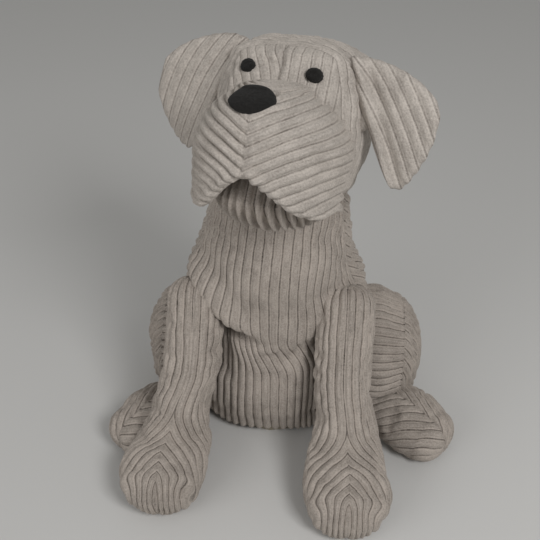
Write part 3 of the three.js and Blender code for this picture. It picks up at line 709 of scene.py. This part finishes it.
def foot_form(side):
    """From the heel forward to the toe, turned outwards."""
    end_cap, heel_cap = FOOT_HEIGHT * 0.42, FOOT_HEIGHT * 0.26
    straight = FOOT_LENGTH - end_cap - heel_cap
    half, high = FOOT_WIDTH / 2, FOOT_HEIGHT / 2
    turn = math.radians(FOOT_TURN[side])

    def stretch(share, wide, tall):
        x = side * (HEEL_ASIDE[side] + math.sin(turn) * straight * share)
        y = -HEEL_FORWARD[side] - math.cos(turn) * straight * share
        return (x, y, tall, wide, tall, tall * 1.15, 90, side * FOOT_TURN[side])

    return Form([
        stretch(0, half * 0.8, high * 0.9),
        stretch(0.4, half * 0.96, high),
        stretch(0.75, half, high),
        stretch(1, half * 0.88, high * 0.9),
    ], start_cap=heel_cap, end_cap=end_cap)


def thigh(side):
    form = thigh_form(side)
    rise = (THIGH_ROUND * 0.65 - THIGH_SIDE) / form.end_cap
    seam_station = 1 + math.asin(rise) * 2 / math.pi
    gusset_rows = form.stations(-1, seam_station, GRID * 1.4)
    side_rows = form.stations(seam_station, 2, GRID * 1.1)
    panels = []
    for rows, name in ((gusset_rows, "gusset"), (side_rows, "side")):
        panel = Panel(form, rows, -math.pi, math.pi, GRID * 1.1)
        edge = form.length_down(np.array(seam_station))
        distance = np.abs(panel.down - edge)
        across = panel.angle * THIGH_DIAMETER * 0.48
        if name == "side":
            # Here the wales run upwards and lean a little forward
            across = panel.points[..., 1] * 0.97 + panel.points[..., 2] * 0.24
        points, uv, seam = covered(panel.points, panel.normals, across, panel.down, distance,
                                   raised=0, seed=80 + 10 * side,
                                   height=WALE_HEIGHT["thigh"], narrow=1.3)
        panels.append((on_floor(points), uv, seam))
    round_seam = panels[1][0][0]
    limb(f"thigh_{SIDES[side]}", panels, round_seam, ("gusset", "side", "filling"))


def foot(side):
    form = foot_form(side)
    station = form.stations(-1, 2, GRID * 1.1)
    panels = []
    for left, right in HALVES:
        panel = Panel(form, station, left, right, GRID)
        outer = (left == 0) == (side > 0)
        slant = math.radians(FOOT_SLANT_OUTER if outer else FOOT_SLANT_INNER)
        across = panel.from_front(left) * math.cos(slant) + panel.down * math.sin(slant)
        points, uv, seam = covered(panel.points, panel.normals, across, panel.down, panel.seam,
                                   raised=0, seed=110 + 10 * side,
                                   height=WALE_HEIGHT["foot"])
        panels.append((on_floor(points), uv, seam))
    limb(f"hind_foot_{SIDES[side]}", panels, side_edges(panels), ("cover", "filling"))


def turn_matrix(axis, degrees):
    c, s = math.cos(math.radians(degrees)), math.sin(math.radians(degrees))
    i, j = {"x": (1, 2), "y": (2, 0), "z": (0, 1)}[axis]
    matrix = np.eye(3)
    matrix[i, i] = matrix[j, j] = c
    matrix[i, j], matrix[j, i] = -s, s
    return matrix


HEAD_AXES = turn_matrix("z", HEAD_TURN) @ turn_matrix("x", -HEAD_RAISE) @ turn_matrix("y", HEAD_ROLL)
HEAD_PLACE = np.array([HEAD_ASIDE, -HEAD_FORWARD, NECK_TOP_HEIGHT + HEAD_ABOVE_NECK])


def on_neck(points):
    """Points of the head, from its own upright frame to where it sits on the neck."""
    return points @ HEAD_AXES.T + HEAD_PLACE


def head_section(z, wide, front, back):
    return (0, 0, z, HEAD_WIDTH / 2 * wide, HEAD_DEPTH / 2 * front, HEAD_DEPTH / 2 * back)


head_form = Form([
    head_section(CROWN_HEIGHT * 0.72, 0.92, 0.84, 0.86),
    head_section(CROWN_HEIGHT * 0.3, 0.98, 1, 0.98),
    head_section(-HEAD_DROP * 0.25, 1, 1.11, 0.88),
    head_section(-HEAD_DROP * 0.65, 0.88, 1.03, 0.72),
], squareness=2.6, start_cap=CROWN_HEIGHT * 0.28, end_cap=HEAD_DROP * 0.35)

MUZZLE_BACK = HEAD_DEPTH * 0.28
MUZZLE_SLANT = math.radians(27)


def muzzle_section(z, wide, reach, aside=0):
    return (aside, -MUZZLE_BACK, z, MUZZLE_WIDTH / 2 * wide, MUZZLE_REACH * reach - MUZZLE_BACK,
            MUZZLE_BACK * 0.7)


muzzle_form = Form([
    muzzle_section(MUZZLE_TOP * 0.7, 0.5, 0.87),
    muzzle_section(MUZZLE_TOP * 0.3, 0.78, 0.98),
    muzzle_section(-JOWL_DROP * 0.2, 1, 1),
    muzzle_section(-JOWL_DROP * 0.6, 1, 0.97, -1.5),
    muzzle_section(-JOWL_DROP, 0.97, 0.9, -3.5),
    muzzle_section(-JOWL_DROP * 1.3, 0.94, 0.86, -5),
], squareness=2.3, start_cap=MUZZLE_TOP * 0.3)


def chin_section(z, share):
    ahead = CHIN_DEPTH * 0.55 * share
    return (0, -CHIN_FORWARD, z, CHIN_WIDTH / 2 * share, ahead, ahead * 0.8)


chin_form = Form([
    chin_section(-JOWL_DROP * 0.62, 0.85),
    chin_section(-JOWL_DROP * 0.95, 1),
], start_cap=JOWL_DROP * 0.13, end_cap=CHIN_DROP - JOWL_DROP * 0.95)


def section_at_height(form, z):
    """Middle x and y, half width, front depth and back depth of an upright form at a height."""
    fine = form.section_at(np.linspace(0, 1, 300))
    order = np.argsort(fine[:, 2])
    return [np.interp(z, fine[order, 2], fine[order, column]) for column in (0, 1, 3, 4, 5)]


def level_of(form, points):
    """Below 1 inside an upright form and above 1 outside it."""
    x, y, z = np.moveaxis(points, -1, 0)
    heights = form.sections[:, 2]
    middle_x, middle_y, half_width, front, back = section_at_height(form, z)
    above = np.maximum((z - heights[0]) / max(form.start_cap, 1e-6), 0)
    below = np.maximum((heights[-1] - z) / max(form.end_cap, 1e-6), 0)
    scale = np.sqrt(np.maximum(1 - above ** 2, 1e-9) * np.maximum(1 - below ** 2, 1e-9))
    depth = np.where(y < middle_y, front, back)
    power = form.squareness
    level = ((np.abs(x - middle_x) / (half_width * scale)) ** power
             + (np.abs(y - middle_y) / (depth * scale)) ** power) ** (1 / power)
    return level + 5 * np.maximum(above - 1, 0) + 5 * np.maximum(below - 1, 0)


def way_out(form, start, direction, near, far):
    """How far along the directions from the starts the form's surface lies, between two lengths."""
    near = np.full(direction.shape[:-1], near)
    far = np.full(direction.shape[:-1], far)
    for _ in range(26):
        half = (near + far) / 2
        inside = level_of(form, start + direction * half[..., None]) < 1
        near, far = np.where(inside, half, near), np.where(inside, far, half)
    return near


def head_surface(direction):
    """Where a ray from the middle of the head leaves it, and the normal there."""
    points = direction * way_out(head_form, 0, direction, 5.0, 90.0)[..., None]
    slopes = [level_of(head_form, points + step) - level_of(head_form, points - step)
              for step in np.eye(3) * 0.6]
    return points, unit(np.stack(slopes, axis=-1))


def head_rows():
    """The directions round the head, and how far to tip from straight ahead in each of them to
    meet the face's seam and the back's."""
    round_head = np.linspace(-math.pi, math.pi, 2 * int(150 / GRID) + 1)
    tip = np.linspace(0.02, math.pi - 0.02, 400)
    direction = head_direction(tip[:, None], round_head[None, :])
    points, _ = head_surface(direction)
    side_pull = 5 * np.abs(np.sin(round_head)) ** 2
    seams = []
    for forward in (FACE_SEAM + side_pull, np.full_like(side_pull, BACK_SEAM)):
        seams.append([np.interp(-y, points[:, k, 1], tip) for k, y in enumerate(forward)])
    return round_head, np.array(seams[0]), np.array(seams[1])


def head_direction(tip, round_head):
    """Tip 0 looks straight ahead and round 0 is the top of the head."""
    tip, round_head = np.broadcast_arrays(tip, round_head)
    return np.stack([np.sin(tip) * np.sin(round_head), -np.cos(tip),
                     np.sin(tip) * np.cos(round_head)], axis=-1)


def head():
    round_head, face_tip, back_tip = head_rows()
    half = len(round_head) // 2
    panels = []

    def lay(first, last, columns, run, dart=False):
        rows = int(np.max(np.abs(last - first)) * 47 / (GRID * 1.05))
        share = np.linspace(0, 1, rows + 1)[:, None]
        tip = first[None, columns] + (last - first)[None, columns] * share
        points, normals = head_surface(head_direction(tip, round_head[None, columns]))
        step = np.linalg.norm(np.diff(points, axis=0), axis=2)
        along = np.concatenate([np.zeros((1, points.shape[1])), np.cumsum(step, axis=0)])
        to_end = along[-1:] - along
        to_start = along if first.max() > 0 else np.full_like(along, 99)
        to_end = to_end if last.min() < 3 else np.full_like(along, 99)
        seam = np.minimum(to_start, to_end)
        if dart:
            seam = np.minimum(seam, np.abs(points[..., 0]))
        across, lengthwise = run(points, along)
        laid, uv, dark = covered(points, normals, across, lengthwise, seam, raised=0, seed=130,
                                 height=WALE_HEIGHT["head"])
        panels.append((on_neck(laid), uv, dark))

    def upright(points, _):
        x, _, z = np.moveaxis(points, -1, 0)
        return FACE_SPREAD * x, z

    def fanned(points, _):
        x, _, z = np.moveaxis(points, -1, 0)
        lean = np.radians(FACE_LEAN)
        return FACE_SPREAD * (x * np.cos(lean) + z * np.sin(lean)), z

    def round_the_edge(points, along):
        round_way = np.broadcast_to(round_head[None, :points.shape[1]] * 45, along.shape)
        return along, round_way

    def down_the_back(points, _):
        x, y, z = np.moveaxis(points, -1, 0)
        return 42 * np.arctan2(x, y + 12), z

    nothing = np.zeros_like(face_tip)
    everything = nothing + math.pi
    lay(nothing, face_tip, slice(half, None), upright, dart=True)
    lay(nothing, face_tip, slice(0, half + 1), fanned, dart=True)
    lay(face_tip, back_tip, slice(None), round_the_edge)
    lay(back_tip, everything, slice(None), down_the_back)
    piece = sewn("head", panels, lit_head_cloth)
    stuffed(piece, np.concatenate([panels[2][0][0], panels[2][0][-1]]))
    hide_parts("face_panel_left", "face_panel_right", "head_band", "head_back",
                "head_filling")


def hem_height(x):
    """High in the middle under the nose, low along the jowls."""
    away = np.abs(x - HEM_ASIDE) / (MUZZLE_WIDTH / 2)
    middle, side = 1 - smooth(away / 0.85) ** 0.8, smooth((away - 0.85) / 0.3)
    return -JOWL_DROP - HEM_SAG + HEM_RISE * middle + 3 * side


def muzzle():
    form = muzzle_form
    whole = form.length_down(np.array(1.0))
    nose_line = form.length_down(np.array(0.16))
    panels = []
    for left, right in HALVES:
        column = Panel(form, np.array([0.5, 0.55]), left, right, GRID)
        angle = column.angle[0]
        fine = np.linspace(-1, 1, 500)
        walk = form.points(fine[:, None], angle[None, :])
        over = walk[..., 2] - hem_height(walk[..., 0])
        last = np.array([np.interp(0, -over[:, k], fine) for k in range(len(angle))])
        rows = int(whole / GRID)
        start = form.length_down(np.array(-1.0))
        share = np.linspace(0, 1, rows + 1)[:, None]
        depth = start + (form.length_down(last)[None, :] - start) * share
        lengths = form.length_down(fine)
        station = np.interp(depth, lengths, fine)
        angles = np.broadcast_to(angle[None, :], station.shape)
        points, normals = form.points(station, angles), form.normals(station, angles)
        step = np.linalg.norm(np.diff(points, axis=1), axis=2)
        q = np.concatenate([np.zeros((len(points), 1)), np.cumsum(step, axis=1)], axis=1)
        q = q if left == 0 else q[:, -1:] - q
        rounding = 7 * (1 - smooth((depth - nose_line) / 8))
        away = 52 * np.tanh(np.sqrt(q ** 2 + rounding ** 2) / 52)
        across = 1.08 * (depth * math.cos(MUZZLE_SLANT) + away * math.sin(MUZZLE_SLANT))
        hem = form.length_down(last)[None, :] - depth
        seam = np.where(depth > nose_line, q, 99.0)
        from_nose = np.hypot((points[..., 0] - NOSE_ASIDE) / 15, (points[..., 2] - NOSE_UP) / 10)
        frayed = 0.8 * lumps(points, 2.4, 152) * dip(hem - 1, 3)
        raised = frayed - 1.6 * dip(hem, 1.4) + 1.1 * dip(hem - 4, 3.5) - 1.7 * dip(from_nose, 0.9)
        laid, uv, dark = covered(points, normals, across, q, seam, raised, seed=150,
                                 height=WALE_HEIGHT["muzzle"])
        laid, uv, dark = with_lining(laid, normals, uv, dark)
        panels.append((on_neck(laid), uv, dark))
    piece = sewn("muzzle", panels, lit_head_cloth)
    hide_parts("muzzle_left", "muzzle_right", "muzzle_filling")


def with_lining(points, normals, uv, dark):
    """Turns the hem over and carries its lining up inside to a closed middle. The lining darkens
    inwards: painted shade inside the muzzle.
    """
    edge = points[-1]
    inward = -normals[-1]
    middle = np.array([0, -MUZZLE_BACK - 14, -16.0])
    turned = [edge + inward * 1.4 + np.array([0, 0, -0.9]), edge + inward * 3.2,
              edge + inward * 4.4 + np.array([0, 0, 5.0])]
    inner = turned[-1]
    lining = [inner + (middle - inner) * share for share in (0.3, 0.6, 0.85, 1.0)]
    extra = np.array(turned + lining)
    steps = np.arange(1, len(extra) + 1)[:, None] * 0.3
    more_uv = uv[-1:] + steps[..., None] * np.array([0, 1])
    lining_shade = np.broadcast_to(np.minimum(steps * 0.4, 1), extra.shape[:2])
    return (np.concatenate([points, extra]), np.concatenate([uv, more_uv]),
            np.concatenate([dark, lining_shade]))


def chin():
    form = chin_form
    station = form.stations(-1, 2, GRID * 1.2)
    panel = Panel(form, station, -math.pi, math.pi, GRID)
    away = np.full_like(panel.q, 99.0)
    across = 0.95 * (panel.q - panel.width / 2) + 1.5
    laid, uv, dark = covered(panel.points, panel.normals, across, panel.down, away, raised=0,
                             seed=170, height=WALE_HEIGHT["chin"], narrow=0.9)
    piece = sewn("chin", [(on_neck(laid), uv, dark)], body_cloth)
    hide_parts("chin_panel")


def ear_point(side, across, down, depth):
    """Where a point of the flat ear, across from its root and down from its top, hangs."""
    lean, sweep, pitch = (math.radians(a[side]) for a in (EAR_LEAN, EAR_SWEEP, EAR_PITCH))
    out = across * math.cos(lean) + down * math.sin(lean)
    below = down * math.cos(lean) - across * math.sin(lean)
    free = np.clip(across / EAR_WIDTH, 0, 1)
    bow = EAR_BOW * free * np.sin(math.pi * below / EAR_LENGTH)
    return np.stack([
        side * (EAR_ROOT_ASIDE + out * math.cos(sweep)),
        -EAR_ROOT_FORWARD + out * math.sin(sweep) + below * math.sin(pitch) * free - bow - depth,
        EAR_ROOT_UP + EAR_RISE[side] - below * math.cos(pitch),
    ], axis=-1)


def ear_edges(side, across):
    """How far down the ear's upper and lower edge lie."""
    share = np.clip(across / EAR_WIDTH, 0, 1)
    tip_top, tip_bottom = EAR_TIP[side]
    inner = 0.1 * np.maximum(1 - share / 0.3, 0) ** 2
    fall = 2.3 if side < 0 else 1.5
    outer = (0.92 - tip_bottom) * (np.maximum(share - 0.12, 0) / 0.88) ** fall + 0.08 * share ** 9
    lower = np.where(across < 0, EAR_SEWN_SHARE, 1 - inner - outer)
    shoulder = smooth((across + 3) / 8)
    lower = EAR_SEWN_SHARE + (lower - EAR_SEWN_SHARE) * shoulder
    upper = 0.05 + (tip_top - 0.12) * share ** 1.6 + 0.07 * share ** 9
    return EAR_LENGTH * upper, EAR_LENGTH * lower


def ear(side):
    columns = int((EAR_WIDTH + EAR_TUCK * 0.4) / (GRID * 0.9))
    rows = int(EAR_LENGTH / (GRID * 1.2))
    across = np.linspace(-EAR_TUCK * 0.4, EAR_WIDTH, columns + 1)[None, :]
    upper, lower = ear_edges(side, across)
    share = np.linspace(0, 1, rows + 1)[:, None]
    scallop = wale_profile(across / WALE) - 0.6
    upper, lower = upper - scallop * 0.4, lower + scallop
    down = upper + (lower - upper) * share
    across = np.broadcast_to(across, down.shape)
    to_side = np.minimum(EAR_WIDTH - across, across - across[0, 0])
    to_edge = np.minimum(np.minimum(down - upper, lower - down), to_side)
    crown = np.sqrt(np.clip(to_edge / 5, 0, 1))
    middle = CLOTH + 0.2
    pleat = EAR_PLEAT[side] * dip(across - 4, 7) * np.sin(across / 2.6 + 0.6)
    count = (0.95 * across - 17 * (1 - np.exp(-down / 32))) / WALE
    panels = []
    for face in (1, -1):
        rib = WALE_HEIGHT["ear"] * (wale_profile(count) - 1)
        depth = middle + face * crown * (2.6 + rib) + pleat
        points = ear_point(side, across, down, depth)
        points = points + 0.6 * lumps(points, 22, 190)[..., None] * np.array([0, 1.0, 0])
        uv = np.stack([count, down / WALE], axis=-1)
        # Its rim, where front and back are sewn, gets the same painted seam shade.
        panels.append((on_neck(points), uv, 1 - smooth(to_edge / 2.5)))
    piece = sewn(f"ear_{SIDES[side]}", panels, lit_head_cloth)
    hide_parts(f"ear_{SIDES[side]}_back", f"ear_{SIDES[side]}_front")


def front_of(form, x, z):
    """How far forward the front of an upright form lies."""
    middle_x, middle_y, half_width, front, _ = section_at_height(form, z)
    above = np.clip((z - form.sections[0, 2]) / max(form.start_cap, 1e-6), 0, 0.999)
    scale = np.sqrt(1 - above ** 2)
    share = np.clip(np.abs(x - middle_x) / (half_width * scale), 0, 1) ** form.squareness
    return middle_y - front * scale * (1 - share) ** (1 / form.squareness)


def patch(name, form, x, z, tilt, outline, thickness, dimple, replaced):
    """A felt shape laid on a form. Its outline is drawn in a plane that leans back by the tilt, and
    every point of it is carried out to the form's surface."""
    lean = math.radians(tilt)
    out = np.array([0, -math.cos(lean), math.sin(lean)])
    up = np.array([0, math.sin(lean), math.cos(lean)])
    middle = np.array([x, front_of(form, x, z), z]) - 14 * out
    rings = np.linspace(1, 0, 15)[:, None]
    turn = np.linspace(0, 2 * math.pi, 65)[None, :]
    wide, high = outline(turn)
    flat = middle + (high * rings)[..., None] * up
    flat[..., 0] += wide * rings
    outwards = np.broadcast_to(out, flat.shape)
    base = flat + outwards * way_out(form, flat, outwards, 0.0, 40.0)[..., None]
    dome = thickness * np.sqrt(np.clip(1 - rings ** 5, 0, 1)) * (1 + 0.2 * (1 - rings ** 2))
    dome = dome - dimple * dip(rings, 0.3) + 0.12 * lumps(base, 2.5, 210)
    top = base + out * np.maximum(dome, 0.05)[..., None]
    under = base - out * 1.6
    uv = np.stack([wide * rings, high * rings], axis=-1) / WALE
    none = np.zeros(uv.shape[:2])
    rim = np.stack([top[0], under[0]])
    panels = [(top, uv, none), (under, uv, none), (rim, uv[:1].repeat(2, axis=0), none[:2])]
    piece = sewn(name, [(on_neck(place), u, d) for place, u, d in panels], black_felt)
    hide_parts(replaced)


def nose_outline(turn):
    """Wide and rounded above, drawn to a soft point below."""
    up = np.cos(turn)
    narrow = 1 - 0.16 * smooth(-up)
    wide = NOSE_WIDTH / 2 * np.sign(np.sin(turn)) * np.abs(np.sin(turn)) ** 0.92 * narrow
    return wide, NOSE_HEIGHT / 2 * up


def eye_outline(turn):
    ragged = 1 + 0.012 * np.sin(5 * turn) + 0.02 * np.sin(13 * turn + 1)
    return EYE_WIDTH / 2 * np.sin(turn) * ragged, EYE_HEIGHT / 2 * np.cos(turn) * ragged


body()
for side in SIDES:
    leg(side)
    thigh(side)
    foot(side)
head()
muzzle()
chin()
for side in SIDES:
    ear(side)
    patch(f"eye_{SIDES[side]}_pad", head_form, side * EYE_SPACING / 2, EYE_UP[side], EYE_TILT,
          eye_outline, EYE_THICKNESS, EYE_DIMPLE, f"eye_{SIDES[side]}")
patch("nose", muzzle_form, NOSE_ASIDE, NOSE_UP, NOSE_TILT, nose_outline, NOSE_THICKNESS, 0,
      "nose_patch")

for name in ("base_panel", "sand_bag"):
    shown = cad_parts[name]
    shown.data.materials.clear()
    shown.data.materials.append(base_cotton)


def floor():
    bm = bmesh.new()
    bmesh.ops.create_grid(bm, x_segments=2, y_segments=2, size=4)
    mesh = bpy.data.meshes.new("floor")
    bm.to_mesh(mesh)
    bm.free()
    plane = bpy.data.objects.new("floor", mesh)
    bpy.context.collection.objects.link(plane)
    material, _, shader = material_of("Matt painted floor")
    shader.inputs["Base Color"].default_value = linear("#c9c8c6")
    shader.inputs["Roughness"].default_value = 0.9
    mesh.materials.append(material)


def lamp(name, place, aim, size, power):
    light = bpy.data.lights.new(name, "AREA")
    light.size = size
    light.energy = power
    lamp_object = bpy.data.objects.new(name, light)
    lamp_object.location = Vector(place)
    toward = Vector(aim) - Vector(place)
    lamp_object.rotation_euler = toward.to_track_quat("-Z", "Y").to_euler()
    bpy.context.collection.objects.link(lamp_object)


def camera():
    azimuth, elevation = math.radians(CAMERA_AZIMUTH), math.radians(CAMERA_ELEVATION)
    away = Vector((math.sin(azimuth) * math.cos(elevation),
                   -math.cos(azimuth) * math.cos(elevation), math.sin(elevation)))
    data = bpy.data.cameras.new("camera")
    data.lens = LENS
    data.sensor_width = SENSOR_WIDTH
    view = bpy.data.objects.new("camera", data)
    view.location = Vector(CAMERA_AIM) + away * CAMERA_AWAY
    view.rotation_euler = (-away).to_track_quat("-Z", "Y").to_euler()
    bpy.context.collection.objects.link(view)
    bpy.context.scene.camera = view


def studio():
    world = bpy.data.worlds.new("studio")
    world.use_nodes = True
    background = world.node_tree.nodes["Background"]
    background.inputs["Color"].default_value = linear("#f2f2f0")
    background.inputs["Strength"].default_value = 0.38
    bpy.context.scene.world = world


floor()
lamp("key", (0.5, -0.7, 0.86), (0, 0, 0.2), size=0.35, power=6)
lamp("fill", (-0.95, -1.1, 0.7), (0, 0, 0.14), size=1, power=6)
studio()
camera()
bpy.context.scene.view_settings.view_transform = "Standard"
